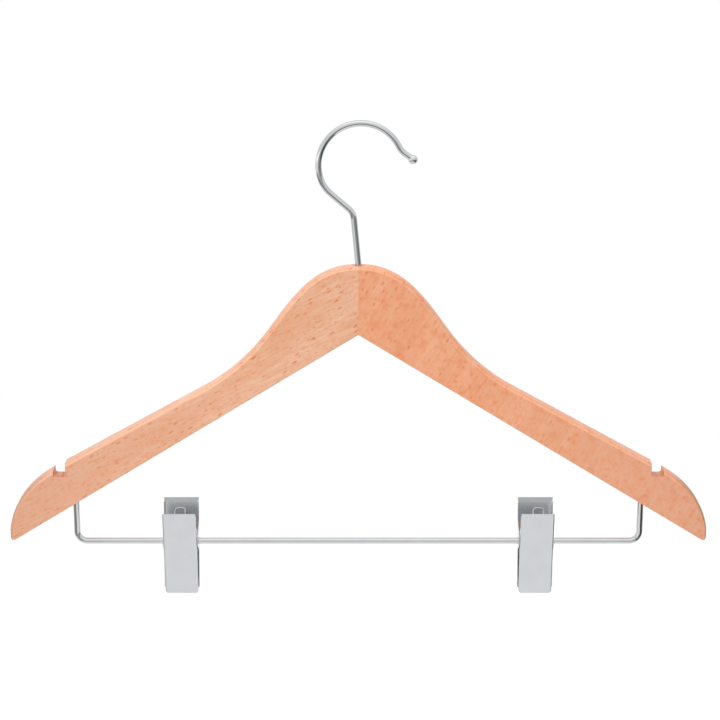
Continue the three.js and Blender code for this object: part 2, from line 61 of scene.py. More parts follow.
# Arms, as the solids have them
ARM_SPAN = 445
ARM_THICKNESS = 12
HEAD_HEIGHT = 43.3
UNDERSIDE_SLOPE = 31.7
SHOULDER_SLOPE = 29.1
DOME_REACH = 57.3
DOME_DROP = 43.15
DOME_SLOPE = 53.5
DOME_CREST_PULL = 28.5
DOME_FLANK_PULL = 27.3
HOLLOW_RADIUS = 128
END_CURVE_LENGTH = 29.5
END_DRAFT = 3.3
TIP_HEIGHT = 9
TIP_ROUNDING = 4.5
TOP_EASING = 2.2
UNDERSIDE_EASING = 0.8
NOTCH_EASING = 0.35
NOTCH_FROM_TIP = 32.8
NOTCH_WIDTH = 7.4
NOTCH_DEPTH = 6.6
NOTCH_CORNER = 1.6
SEAM_GAP = 0.02
CURVE_STEPS = 24
CORNER_STEPS = 8
TIP_STEPS = 12
LEAST_STEP = 0.5
EASING_SEGMENTS = 6
EASING_PROFILE = 0.36

# Swivel hook
HOOK_WIRE = 4
RING_RADIUS = 25.9
RING_OFFSET = 1.6
LOWER_RING_RADIUS = 19.7
LOWER_RING_TURN = 28
MAIN_RING_TURN = 174.7
STEM_LEAN = 5.4
STEM_BEND_RADIUS = 12
STEM_RISE = 28
NECK_TURN = 44
NECK_RADIUS = 9.7
FLICK_TURN = 27.6
FLICK_RADIUS = 12.5
FLICK_RUN = 5.8
BALL_DIAMETER = 5.8
BORE_CLEARANCE = 0.3
PEENED_DIAMETER = 6.6
PEENED_HEIGHT = 2
WASHER_DIAMETER = 9
WASHER_THICKNESS = 1
COUNTERBORE_DEPTH = 5
SEAT_GAP = 0.15
PEEN_RINGS = 6
BALL_RINGS = 14
END_RING_HEIGHT = 0.2

# Clip bar
BAR_WIRE = 4
BAR_BEND_RADIUS = 6.5

# Clips, from the axis of the bar
SHEET = 0.5
FRONT_JAW_WIDTH = 21.3
FRONT_HANDLE = 23.3
FRONT_JAW = 34.9
BACK_HANDLE = 27.1
BACK_JAW = 32.8
EAR_GAP = 0.2
FOLD_RADIUS = 1
CORNER_CHAMFER = 1.3
EAR_RIM = 2.3
EAR_START = 12.5
EAR_END = 7.5
RIM_DEPTH = 1.4
RIM_START = 1.6
SKIRT_DEPTH = 2.4
SKIRT_END_DEPTH = 0.6
BURR = 0.2
BURR_ANGLE = 40
BURR_SEGMENTS = 2
PAD_WIDTH = 18.6
PAD_HEIGHT = 6.5
PAD_THICKNESS = 1.8
PAD_FROM_END = 0.7
PAD_GLUE = 0.1
PAD_ROUNDING = 0.45
PAD_SEGMENTS = 4
MOUTH_GAP = 0.3

# Double torsion springs
SPRING_WIRE = 1.1
COIL_CLEARANCE = 0.95
COIL_TO_JAW = 2.65
COIL_PITCH = 1.6
COIL_TURNS = 2
LOOP_WIDTH = 7.7
LOOP_REACH = 18.9
LOOP_CORNER = 2
LEG_REACH = 13
SPRING_SEAT_GAP = 0.3
SPRING_SHIFT = {"left": -0.8, "right": 2}

# Fineness of the meshes, and the angles in degrees past which their edges are shaded sharp
WIRE_SIDES = 32
SPRING_SIDES = 16
BORE_SIDES = 48
STEP_ANGLE = 5
SHARP_EDGE = 30
SHARP_ARM_EDGE = 35
SHARP_ROUNDED_EDGE = 50
SHARP_PAD_EDGE = 60
FLAT_FACE_WEIGHT = 100

# Where the frame puts them
tip_x = ARM_SPAN / 2
crest_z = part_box("left_arm")[1].z / MM
crotch_z = crest_z - HEAD_HEIGHT
bar_low, bar_high = (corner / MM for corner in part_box("clip_bar"))
bar_z = bar_low.z + BAR_WIRE / 2
leg_x = bar_high.x - BAR_WIRE / 2
clip_x = {
    side: next(j for j in frame["joints"] if j["name"] == f"{side}_clip_swing")["pos_m"][0] / MM
    for side in ("left", "right")
}

coil_radius = BAR_WIRE / 2 + COIL_CLEARANCE + SPRING_WIRE / 2
jaw_inside = coil_radius + SPRING_WIRE / 2 + COIL_TO_JAW
jaw_outside = jaw_inside + SHEET
hinge_hole = BAR_WIRE / 2 + BORE_CLEARANCE
ear_radius = hinge_hole + EAR_RIM
back_jaw_width = FRONT_JAW_WIDTH + 2 * (EAR_GAP + SHEET)
pad_low = PAD_FROM_END - min(FRONT_JAW, BACK_JAW)
pad_middle = -pad_low - PAD_HEIGHT / 2
pad_to_mouth = PAD_THICKNESS + PAD_GLUE + MOUTH_GAP / 2
jaw_lean = math.acos(pad_to_mouth / math.hypot(jaw_inside, pad_middle)) - math.atan2(pad_middle, jaw_inside)


# Meshes

def piece(name, bm, finish, sharp_edge=SHARP_EDGE):
    """Makes a mesh in millimetres into a finished object in the frame."""
    bmesh.ops.recalc_face_normals(bm, faces=bm.faces)
    bmesh.ops.scale(bm, vec=(MM, MM, MM), verts=bm.verts)
    mesh = bpy.data.meshes.new(name)
    bm.to_mesh(mesh)
    bm.free()
    mesh.shade_smooth()
    mesh.set_sharp_from_angle(angle=math.radians(sharp_edge))
    made = bpy.data.objects.new(name, mesh)
    bpy.context.scene.collection.objects.link(made)
    if finish:
        mesh.materials.append(finish)
    return made


def applied(made):
    """Turns an object's modifiers into its mesh."""
    graph = bpy.context.evaluated_depsgraph_get()
    mesh = bpy.data.meshes.new_from_object(made.evaluated_get(graph))
    made.modifiers.clear()
    made.data = mesh


def cut(made, cutters, operation="DIFFERENCE"):
    """Cuts an object with others, or keeps what they share."""
    for cutter in cutters:
        boolean = made.modifiers.new("cut", "BOOLEAN")
        boolean.operation = operation
        boolean.object = cutter
        boolean.solver = "EXACT"
    applied(made)
    for cutter in cutters:
        bpy.data.objects.remove(cutter)


def flat_normals(made):
    """Keeps flat faces flat in the shading beside rounded ones."""
    weighted = made.modifiers.new("flat_faces", "WEIGHTED_NORMAL")
    weighted.keep_sharp = True
    weighted.weight = FLAT_FACE_WEIGHT


def prism(points, low, high, along):
    """A flat outline pushed along an axis: (y, z) points along X, (x, z) along Y and (x, y) along Z."""
    bm = bmesh.new()
    places = {
        "X": lambda y, z: (low, y, z),
        "Y": lambda x, z: (x, low, z),
        "Z": lambda x, y: (x, y, low),
    }
    face = bm.faces.new([bm.verts.new(places[along](*point)) for point in points])
    made = bmesh.ops.extrude_face_region(bm, geom=[face])
    moved = [g for g in made["geom"] if isinstance(g, bmesh.types.BMVert)]
    push = {"X": (high - low, 0, 0), "Y": (0, high - low, 0), "Z": (0, 0, high - low)}
    bmesh.ops.translate(bm, verts=moved, vec=push[along])
    return bm


def round_bar(radius, low, high):
    """A round bar along Z."""
    bm = bmesh.new()
    middle = Matrix.Translation((0, 0, (low + high) / 2))
    bmesh.ops.create_cone(
        bm, cap_ends=True, segments=BORE_SIDES, radius1=radius, radius2=radius,
        depth=high - low, matrix=middle)
    return bm


def arc(x, z, radius, start, end, steps):
    """Points on an arc, from one angle to another in degrees."""
    angles = [math.radians(start + (end - start) * i / steps) for i in range(steps + 1)]
    return [(x + radius * math.cos(a), z + radius * math.sin(a)) for a in angles]


def bezier(points, steps):
    """Points on a Bezier curve of any degree."""
    row = []
    for i in range(steps + 1):
        left = [Vector(p) for p in points]
        while len(left) > 1:
            left = [a.lerp(b, i / steps) for a, b in zip(left, left[1:])]
        row.append(tuple(left[0]))
    return row


# Wire

def ring_edges(verts):
    """The edges that join these vertices to each other."""
    inside = set(verts)
    return list({e for v in verts for e in v.link_edges if e.other_vert(v) in inside})


def wire_start(bm, point, direction, radius, sides):
    """The first ring of a wire, square to its direction."""
    turned = direction.to_track_quat("Z", "Y").to_matrix().to_4x4()
    place = Matrix.Translation(point) @ turned
    made = bmesh.ops.create_circle(bm, segments=sides, radius=radius, matrix=place)
    return ring_edges(made["verts"])


def wire_run(bm, ring, move, widen=1):
    """A straight run of wire, which may swell or narrow on the way."""
    made = bmesh.ops.extrude_edge_only(bm, edges=ring)["geom"]
    verts = [g for g in made if isinstance(g, bmesh.types.BMVert)]
    bmesh.ops.translate(bm, verts=verts, vec=move)
    if widen != 1:
        middle = sum((v.co for v in verts), Vector()) / len(verts)
        bmesh.ops.scale(bm, vec=(widen, widen, widen), space=Matrix.Translation(-middle), verts=verts)
    return ring_edges(verts)


def wire_turn(bm, ring, centre, axis, degrees, climb=0):
    """A bend about an axis, or a coil if the wire climbs along it."""
    steps = max(2, math.ceil(abs(degrees) / STEP_ANGLE))
    verts = list({v for e in ring for v in e.verts})
    made = bmesh.ops.spin(
        bm, geom=verts + ring, cent=centre, axis=axis, dvec=Vector(axis) * climb / steps,
        angle=math.radians(degrees), steps=steps)
    return ring_edges([g for g in made["geom_last"] if isinstance(g, bmesh.types.BMVert)])


def bend(bm, start, heading, moves, radius, sides):
    """Bends a wire in the hanger's plane by straight runs and turns, positive to the left."""
    x, z = start
    ring = wire_start(bm, Vector((x, 0, z)), facing(heading), radius, sides)
    for move in moves:
        if "run" in move:
            step = facing(heading) * move["run"]
            ring = wire_run(bm, ring, step)
            x, z = x + step.x, z + step.z
            continue
        side = math.copysign(move["radius"], move["turn"])
        centre = Vector((x, 0, z)) + facing(heading + 90) * side
        ring = wire_turn(bm, ring, centre, (0, -1, 0), move["turn"])
        heading += move["turn"]
        end = centre - facing(heading + 90) * side
        x, z = end.x, end.z
    return ring, heading


def facing(degrees):
    """The direction at an angle in the hanger's plane, from +X towards +Z."""
    return Vector((math.cos(math.radians(degrees)), 0, math.sin(math.radians(degrees))))


# Colours and shader nodes

def linear(code):
    """An sRGB hex colour as linear red, green, blue and alpha."""
    channels = [int(code[i:i + 2], 16) / 255 for i in (1, 3, 5)]
    return [c / 12.92 if c <= 0.04045 else ((c + 0.055) / 1.055) ** 2.4 for c in channels] + [1]


def node(tree, kind, inputs=None, **settings):
    """Adds a node; each input is a value, or another node's output to link."""
    made = tree.nodes.new(kind)
    for name, value in settings.items():
        setattr(made, name, value)
    for socket, value in (inputs or {}).items():
        if isinstance(value, bpy.types.NodeSocket):
            tree.links.new(value, made.inputs[socket])
        else:
            made.inputs[socket].default_value = value
    return made


def material(name):
    """A new material with no nodes, and its tree."""
    made = bpy.data.materials.new(name)
    made.use_nodes = True
    made.node_tree.nodes.clear()
    return made, made.node_tree


def per_mm(size):
    """The scale that gives a pattern this size in millimetres on Object coordinates in metres."""
    return 1 / (size * MM)


# Beech, planed and sanded, under a thin satin lacquer: pale pinkish wood with fine fibres along the grain,
# short darker ray flecks and finer pores. The lacquer gives a soft sheen and leaves the grain nearly smooth.
# The fibres are drawn coarser than real ones, so that they show. Sizes are in millimetres, and shares and
# chances go from 0 to 1.
BOARD_LENGTH = 70
BOARD_DEPTH = 30
BOARD_WIDTH = 14
# Painted shade towards the tips, where the light falls off
TIP_SHADE_START = 60
TIP_SHADE_END = 215
TIP_SHADE_SHARE = 0.9
FIBRE_DEPTH = 2
DASH_DEPTH = 4
DASH_RAGGEDNESS = 2.5
DASH_WANDER = 0.5
FLECK_CHANCE = 0.95
FLECK_FADE_START = 40
FLECK_FADE_END = 170
PORE_CHANCE = 0.8
# Share of the painted highlight line along the easing
HIGHLIGHT_LINE_SHARE = 0.38
# Share of the notch tone, partly end grain and partly painted shade
SAWN_AND_SHADED_SHARE = 0.85
SAW_STRIPE = (1.6, 14, 5)
GRAIN_RELIEF = 0.05


def dashes(tree, place, mark, chance):
    """Short ragged dashes, one to a cell of the mark's size, stronger in some cells than in others."""
    along = node(tree, "ShaderNodeMapping", {
        "Vector": place, "Rotation": (0, math.radians(mark["angle"]), 0)}).outputs["Vector"]
    cell = (per_mm(mark["length"]), per_mm(DASH_DEPTH), per_mm(mark["width"]))
    cells = node(tree, "ShaderNodeMapping", {"Vector": along, "Scale": cell}).outputs["Vector"]
    ragged = node(tree, "ShaderNodeTexNoise", {
        "Vector": cells, "Scale": DASH_RAGGEDNESS, "Detail": 2}).outputs["Color"]
    wander = (DASH_WANDER, DASH_WANDER, DASH_WANDER)
    wandered = node(tree, "ShaderNodeVectorMath", {
        0: ragged, 1: wander, 2: cells}, operation="MULTIPLY_ADD").outputs["Vector"]
    spots = node(tree, "ShaderNodeTexVoronoi", {"Vector": wandered, "Scale": 1, "Randomness": 1})
    dash = node(tree, "ShaderNodeMapRange", {
        "Value": spots.outputs["Distance"], "From Min": 0.36, "From Max": 0.12, "To Min": 0, "To Max": 1},
        interpolation_type="SMOOTHSTEP").outputs["Result"]
    luck = node(tree, "ShaderNodeSeparateColor", {"Color": spots.outputs["Color"]}).outputs["Red"]
    strong = node(tree, "ShaderNodeMapRange", {
        "Value": luck, "From Min": 1 - chance, "From Max": 1, "To Min": 0, "To Max": 1}).outputs["Result"]
    return node(tree, "ShaderNodeMath", {0: dash, 1: strong}, operation="MULTIPLY").outputs["Value"]


def beech(name, tones, grain_angle, fibre, mottle, fleck, pore, edge_shade_share):
    """One board of beech: its tones, some of them painted shade or a painted highlight, the angle of its
    grain, the size and share of each figure, and how much painted end shade reaches the long edges.
    """
    made, tree = material(name)
    coordinates = node(tree, "ShaderNodeTexCoord")
    place = coordinates.outputs["Object"]
    normal = node(tree, "ShaderNodeSeparateXYZ", {"Vector": coordinates.outputs["Normal"]})
    along_grain = node(tree, "ShaderNodeMapping", {
        "Vector": place, "Rotation": (0, math.radians(grain_angle), 0)}).outputs["Vector"]
    across_hanger = node(tree, "ShaderNodeSeparateXYZ", {"Vector": place}).outputs["X"]
    from_seam = node(tree, "ShaderNodeMath", {0: across_hanger}, operation="ABSOLUTE").outputs["Value"]

    # Broad drift of tone along the board, and painted shade towards the tip, where the light falls off
    board_size = (per_mm(BOARD_LENGTH), per_mm(BOARD_DEPTH), per_mm(BOARD_WIDTH))
    board = node(tree, "ShaderNodeMapping", {"Vector": along_grain, "Scale": board_size}).outputs["Vector"]
    drift = node(tree, "ShaderNodeTexNoise", {
        "Vector": board, "Scale": 1, "Detail": 2, "Roughness": 0.5}).outputs["Fac"]
    drift_share = node(tree, "ShaderNodeMapRange", {
        "Value": drift, "From Min": 0.34, "From Max": 0.66, "To Min": 0, "To Max": 1}).outputs["Result"]
    drifting = node(tree, "ShaderNodeMix", {
        "Factor": drift_share, "A": linear(tones["light"]), "B": linear(tones["deep"])},
        data_type="RGBA").outputs["Result"]
    tip_shade = node(tree, "ShaderNodeMapRange", {
        "Value": from_seam, "From Min": TIP_SHADE_START * MM, "From Max": TIP_SHADE_END * MM,
        "To Min": 0, "To Max": TIP_SHADE_SHARE}).outputs["Result"]
    ground = node(tree, "ShaderNodeMix", {
        "Factor": tip_shade, "A": drifting, "B": linear(tones["tip"])}, data_type="RGBA").outputs["Result"]

    # Fibres as fine streaks, light and dark
    fibre_size = (per_mm(fibre["length"]), per_mm(FIBRE_DEPTH), per_mm(fibre["width"]))
    streaks = node(tree, "ShaderNodeMapping", {"Vector": along_grain, "Scale": fibre_size}).outputs["Vector"]
    grain = node(tree, "ShaderNodeTexNoise", {
        "Vector": streaks, "Scale": 1, "Detail": 4, "Roughness": 0.65}).outputs["Fac"]
    streak_share = node(tree, "ShaderNodeMapRange", {
        "Value": grain, "From Min": 0.4, "From Max": 0.68,
        "To Min": 0, "To Max": fibre["share"]}).outputs["Result"]
    streaked = node(tree, "ShaderNodeMix", {
        "Factor": streak_share, "A": ground, "B": linear(tones["fibre"])}, data_type="RGBA").outputs["Result"]

    # Mottling, where the cut meets the fibres end on
    blotches = node(tree, "ShaderNodeTexNoise", {
        "Vector": place, "Scale": per_mm(mottle["size"]), "Detail": 3, "Roughness": 0.6}).outputs["Fac"]
    blotch_share = node(tree, "ShaderNodeMapRange", {
        "Value": blotches, "From Min": 0.45, "From Max": 0.68, "To Min": 0, "To Max": mottle["share"]},
        interpolation_type="SMOOTHSTEP").outputs["Result"]
    mottled = node(tree, "ShaderNodeMix", {
        "Factor": blotch_share, "A": streaked, "B": linear(tones["fleck"])},
        data_type="RGBA").outputs["Result"]

    # Ray flecks, strongest near the head, and fine pores all over
    fleck_share = node(tree, "ShaderNodeMapRange", {
        "Value": from_seam, "From Min": FLECK_FADE_START * MM, "From Max": FLECK_FADE_END * MM,
        "To Min": fleck["head"], "To Max": fleck["tip"]}).outputs["Result"]
    flecks = node(tree, "ShaderNodeMath", {
        0: dashes(tree, place, fleck, FLECK_CHANCE), 1: fleck_share}, operation="MULTIPLY").outputs["Value"]
    pores = node(tree, "ShaderNodeMath", {
        0: dashes(tree, place, pore, PORE_CHANCE), 1: pore["share"]}, operation="MULTIPLY").outputs["Value"]
    marks = node(tree, "ShaderNodeMath", {0: flecks, 1: pores}, operation="MAXIMUM").outputs["Value"]
    planed = node(tree, "ShaderNodeMix", {
        "Factor": marks, "A": mottled, "B": linear(tones["fleck"])}, data_type="RGBA").outputs["Result"]

    # A painted highlight: a lighter line where the easing meets the flat faces
    flatness = node(tree, "ShaderNodeMath", {0: normal.outputs["Y"]}, operation="ABSOLUTE").outputs["Value"]
    leaving = node(tree, "ShaderNodeMapRange", {
        "Value": flatness, "From Min": 0.995, "From Max": 0.95,
        "To Min": 0, "To Max": HIGHLIGHT_LINE_SHARE}).outputs["Result"]
    arriving = node(tree, "ShaderNodeMapRange", {
        "Value": flatness, "From Min": 0.72, "From Max": 0.88, "To Min": 0, "To Max": 1}).outputs["Result"]
    highlight_line = node(tree, "ShaderNodeMath", {0: leaving, 1: arriving}, operation="MULTIPLY").outputs["Value"]
    painted_highlight = node(tree, "ShaderNodeMix", {
        "Factor": highlight_line, "A": planed, "B": linear(tones["painted_highlight"])}, data_type="RGBA").outputs["Result"]

    # Painted shade on the curved ends, darkest where they face sideways; the long edges get less of it
    endways = node(tree, "ShaderNodeMath", {0: normal.outputs["X"]}, operation="ABSOLUTE").outputs["Value"]
    end_shade = node(tree, "ShaderNodeMapRange", {
        "Value": endways, "From Min": 0.2, "From Max": 0.85, "To Min": 0, "To Max": 1}).outputs["Result"]
    at_end = node(tree, "ShaderNodeMapRange", {
        "Value": from_seam, "From Min": (tip_x - END_CURVE_LENGTH) * MM,
        "From Max": (tip_x - END_CURVE_LENGTH / 2) * MM,
        "To Min": edge_shade_share, "To Max": 1}).outputs["Result"]
    end_shade_share = node(tree, "ShaderNodeMath", {0: end_shade, 1: at_end}, operation="MULTIPLY").outputs["Value"]
    end_shaded = node(tree, "ShaderNodeMix", {
        "Factor": end_shade_share, "A": painted_highlight, "B": linear(tones["end"])}, data_type="RGBA").outputs["Result"]

    # Walls and floor of the strap notch, cut across the grain: darker, partly from the end grain and partly
    # painted shade in the recess, with stripes
    in_notch = node(tree, "ShaderNodeMath", {
        0: from_seam, 1: (tip_x - NOTCH_FROM_TIP) * MM, 2: (NOTCH_WIDTH / 2 + NOTCH_EASING) * MM},
        operation="COMPARE").outputs["Value"]
    sawn_and_shaded = node(tree, "ShaderNodeMapRange", {
        "Value": in_notch, "From Min": 0, "From Max": 1, "To Min": 0, "To Max": SAWN_AND_SHADED_SHARE}).outputs["Result"]
    across = node(tree, "ShaderNodeMapRange", {
        "Value": flatness, "From Min": 0.8, "From Max": 0.4, "To Min": 0, "To Max": 1}).outputs["Result"]
    saw_marks = node(tree, "ShaderNodeMapping", {
        "Vector": place, "Scale": [per_mm(size) for size in SAW_STRIPE]}).outputs["Vector"]
    stripes = node(tree, "ShaderNodeTexNoise", {"Vector": saw_marks, "Scale": 1, "Detail": 2}).outputs["Fac"]
    stripe_share = node(tree, "ShaderNodeMapRange", {
        "Value": stripes, "From Min": 0.4, "From Max": 0.6, "To Min": 0, "To Max": 1}).outputs["Result"]
    sawn_and_shaded_tone = node(tree, "ShaderNodeMix", {
        "Factor": stripe_share, "A": linear(tones["sawn_and_shaded"]), "B": linear(tones["fibre"])},
        data_type="RGBA").outputs["Result"]
    sawn_and_shaded_share = node(tree, "ShaderNodeMath", {0: sawn_and_shaded, 1: across}, operation="MULTIPLY").outputs["Value"]
    colour = node(tree, "ShaderNodeMix", {
        "Factor": sawn_and_shaded_share, "A": end_shaded, "B": sawn_and_shaded_tone}, data_type="RGBA").outputs["Result"]

    sheen = node(tree, "ShaderNodeMapRange", {
        "Value": grain, "From Min": 0.3, "From Max": 0.7, "To Min": 0.36, "To Max": 0.48}).outputs["Result"]
    relief = node(tree, "ShaderNodeMath", {0: grain, 1: marks}, operation="SUBTRACT").outputs["Value"]
    bump = node(tree, "ShaderNodeBump", {
        "Height": relief, "Strength": 0.06, "Distance": GRAIN_RELIEF * MM}).outputs["Normal"]
    shader = node(tree, "ShaderNodeBsdfPrincipled", {
        "Base Color": colour, "Roughness": sheen, "Normal": bump, "IOR": 1.5, "Specular IOR Level": 0.5})
    node(tree, "ShaderNodeOutputMaterial", {"Surface": shader.outputs["BSDF"]})
    return made


# Plated steel: wire and sheet alike are bright metal, with fine drawing marks that only stir the reflections.
# The marks are drawn coarser than real ones, so that they show. The plating clouds a little.
CLOUD_SIZE = 11
LEAST_POLISH = 0.8
MOST_POLISH = 1.25


def plated(name, tone, roughness, mark_size, mark_depth):
    """Plated steel: its tones, how rough it is, and the size and depth of its marks in millimetres."""
    made, tree = material(name)
    place = node(tree, "ShaderNodeTexCoord").outputs["Object"]
    drawn = node(tree, "ShaderNodeTexNoise", {
        "Vector": place, "Scale": per_mm(mark_size), "Detail": 3, "Roughness": 0.6}).outputs["Fac"]
    polish = node(tree, "ShaderNodeMapRange", {
        "Value": drawn, "From Min": 0.3, "From Max": 0.7,
        "To Min": roughness * LEAST_POLISH, "To Max": roughness * MOST_POLISH}).outputs["Result"]
    cloudy = node(tree, "ShaderNodeTexNoise", {
        "Vector": place, "Scale": per_mm(CLOUD_SIZE), "Detail": 2}).outputs["Fac"]
    cloud = node(tree, "ShaderNodeMapRange", {
        "Value": cloudy, "From Min": 0.3, "From Max": 0.7, "To Min": 0, "To Max": 1}).outputs["Result"]
    colour = node(tree, "ShaderNodeMix", {
        "Factor": cloud, "A": linear(tone["light"]), "B": linear(tone["deep"])},
        data_type="RGBA").outputs["Result"]
    bump = node(tree, "ShaderNodeBump", {
        "Height": drawn, "Strength": 0.1, "Distance": mark_depth * MM}).outputs["Normal"]
    shader = node(tree, "ShaderNodeBsdfPrincipled", {
        "Base Color": colour, "Metallic": 1, "Roughness": polish, "Normal": bump})
    node(tree, "ShaderNodeOutputMaterial", {"Surface": shader.outputs["BSDF"]})
    return made


# Moulded vinyl: a matt beige with the fine grain of the mould.
MOULD_GRAIN = 0.5
MOULD_RELIEF = 0.05


def grip_vinyl(name):
    """The vinyl of the grip pads."""
    made, tree = material(name)
    place = node(tree, "ShaderNodeTexCoord").outputs["Object"]
    grain = node(tree, "ShaderNodeTexNoise", {
        "Vector": place, "Scale": per_mm(MOULD_GRAIN), "Detail": 3}).outputs["Fac"]
    shade = node(tree, "ShaderNodeMapRange", {
        "Value": grain, "From Min": 0.3, "From Max": 0.7, "To Min": 0, "To Max": 1}).outputs["Result"]
    colour = node(tree, "ShaderNodeMix", {
        "Factor": shade, "A": linear("#CDBFA8"), "B": linear("#B9A98F")}, data_type="RGBA").outputs["Result"]
    bump = node(tree, "ShaderNodeBump", {
        "Height": grain, "Strength": 0.25, "Distance": MOULD_RELIEF * MM}).outputs["Normal"]
    shader = node(tree, "ShaderNodeBsdfPrincipled", {
        "Base Color": colour, "Roughness": 0.7, "Normal": bump, "IOR": 1.53})
    node(tree, "ShaderNodeOutputMaterial", {"Surface": shader.outputs["BSDF"]})
    return made


# In both boards, the tip and end tones are painted shade, the lightest tone is a painted highlight along the
# easing, and the tone of the notch walls is partly painted shade
pale_beech = beech(
    "beech_pale_satin", {
        "light": "#EFC2A4", "deep": "#E8B08D", "tip": "#DDAA8E", "fibre": "#E2976A", "fleck": "#DB783F",
        "sawn_and_shaded": "#A85A3C", "painted_highlight": "#FDCDAD", "end": "#BF896B"},
    grain_angle=27, fibre={"length": 18, "width": 1.3, "share": 0.65}, mottle={"size": 5, "share": 0.12},
    fleck={"angle": 35, "length": 6.4, "width": 2.1, "head": 1, "tip": 0.85},
    pore={"angle": 30, "length": 3.4, "width": 1.1, "share": 0.8}, edge_shade_share=0.05)
warm_beech = beech(
    "beech_warm_satin", {
        "light": "#F1B18C", "deep": "#EAA57D", "tip": "#E2AA8D", "fibre": "#E59360", "fleck": "#E27840",
        "sawn_and_shaded": "#BE8062", "painted_highlight": "#F6B994", "end": "#A86C4C"},
    grain_angle=58, fibre={"length": 22, "width": 1.6, "share": 0.5}, mottle={"size": 6, "share": 0.35},
    fleck={"angle": 62, "length": 5, "width": 2.4, "head": 1, "tip": 0.45},
    pore={"angle": -32, "length": 3.4, "width": 1.1, "share": 0.5}, edge_shade_share=0.24)
chromed_wire = plated(
    "chromed_drawn_wire", {"light": "#CDCFD0", "deep": "#C8CACC"},
    roughness=0.06, mark_size=4, mark_depth=0.002)
chromed_sheet = plated(
    "satin_chromed_sheet", {"light": "#CDCED0", "deep": "#C9CACD"},
    roughness=0.17, mark_size=9, mark_depth=0.002)
spring_steel = plated(
    "bright_spring_wire", {"light": "#CDCFD0", "deep": "#C2C4C6"},
    roughness=0.18, mark_size=0.7, mark_depth=0.004)
vinyl = grip_vinyl("moulded_grip_vinyl")


# Arms

hollow_x = DOME_REACH + HOLLOW_RADIUS * math.sin(math.radians(DOME_SLOPE))
hollow_z = HEAD_HEIGHT - DOME_DROP + HOLLOW_RADIUS * math.cos(math.radians(DOME_SLOPE))
shoulder_x = hollow_x - HOLLOW_RADIUS * math.sin(math.radians(SHOULDER_SLOPE))
shoulder_start_z = hollow_z - HOLLOW_RADIUS * math.cos(math.radians(SHOULDER_SLOPE))


def shoulder_z(x):
    """Height of the shoulder's straight line over the crotch."""
    return shoulder_start_z - math.tan(math.radians(SHOULDER_SLOPE)) * (x - shoulder_x)


def underside_z(x):
    """Height of the underside over the crotch, which is below it."""
    return -math.tan(math.radians(UNDERSIDE_SLOPE)) * x


def arm_outline():
    """The right arm from the crest round to the crotch: points with the easing of the edge after each."""
    turn_z = HEAD_HEIGHT - DOME_DROP
    flank = math.radians(DOME_SLOPE)
    dome = bezier([
        (SEAM_GAP / 2, HEAD_HEIGHT),
        (DOME_CREST_PULL, HEAD_HEIGHT),
        (DOME_REACH - DOME_FLANK_PULL * math.cos(flank), turn_z + DOME_FLANK_PULL * math.sin(flank)),
        (DOME_REACH, turn_z),
    ], CURVE_STEPS)
    hollow = arc(hollow_x, hollow_z, HOLLOW_RADIUS, 270 - DOME_SLOPE, 270 - SHOULDER_SLOPE, CURVE_STEPS)

    notch_x = tip_x - NOTCH_FROM_TIP
    inner, outer = notch_x - NOTCH_WIDTH / 2, notch_x + NOTCH_WIDTH / 2
    floor = shoulder_z(notch_x) - NOTCH_DEPTH
    corner_z = floor + NOTCH_CORNER
    notch = [(inner, shoulder_z(inner))]
    notch += arc(inner + NOTCH_CORNER, corner_z, NOTCH_CORNER, 180, 270, CORNER_STEPS)
    notch += arc(outer - NOTCH_CORNER, corner_z, NOTCH_CORNER, 270, 360, CORNER_STEPS)

    end_x, draft_x = tip_x - END_CURVE_LENGTH, tip_x - END_DRAFT
    tip_z = underside_z(tip_x)
    end = bezier([
        (end_x, shoulder_z(end_x)),
        (draft_x, shoulder_z(draft_x)),
        (tip_x, tip_z + TIP_HEIGHT),
    ], CURVE_STEPS)
    end = [(outer, shoulder_z(outer))] + [p for p in end if p[0] > outer + LEAST_STEP]
    slope = math.radians(UNDERSIDE_SLOPE)
    tip = bezier([
        (tip_x, tip_z + TIP_ROUNDING),
        (tip_x, tip_z),
        (tip_x - TIP_ROUNDING * math.cos(slope), tip_z + TIP_ROUNDING * math.sin(slope)),
    ], TIP_STEPS)
    crotch = [(SEAM_GAP / 2, underside_z(SEAM_GAP / 2))]

    rows = [(p, TOP_EASING) for p in dome + hollow[1:]]
    rows += [(p, NOTCH_EASING) for p in notch]
    for i, p in enumerate(end):
        share = max(0, 2 * i / len(end) - 1)
        rows.append((p, TOP_EASING + (UNDERSIDE_EASING - TOP_EASING) * share))
    rows += [(p, UNDERSIDE_EASING) for p in tip]
    rows += [(p, 0) for p in crotch]
    return rows


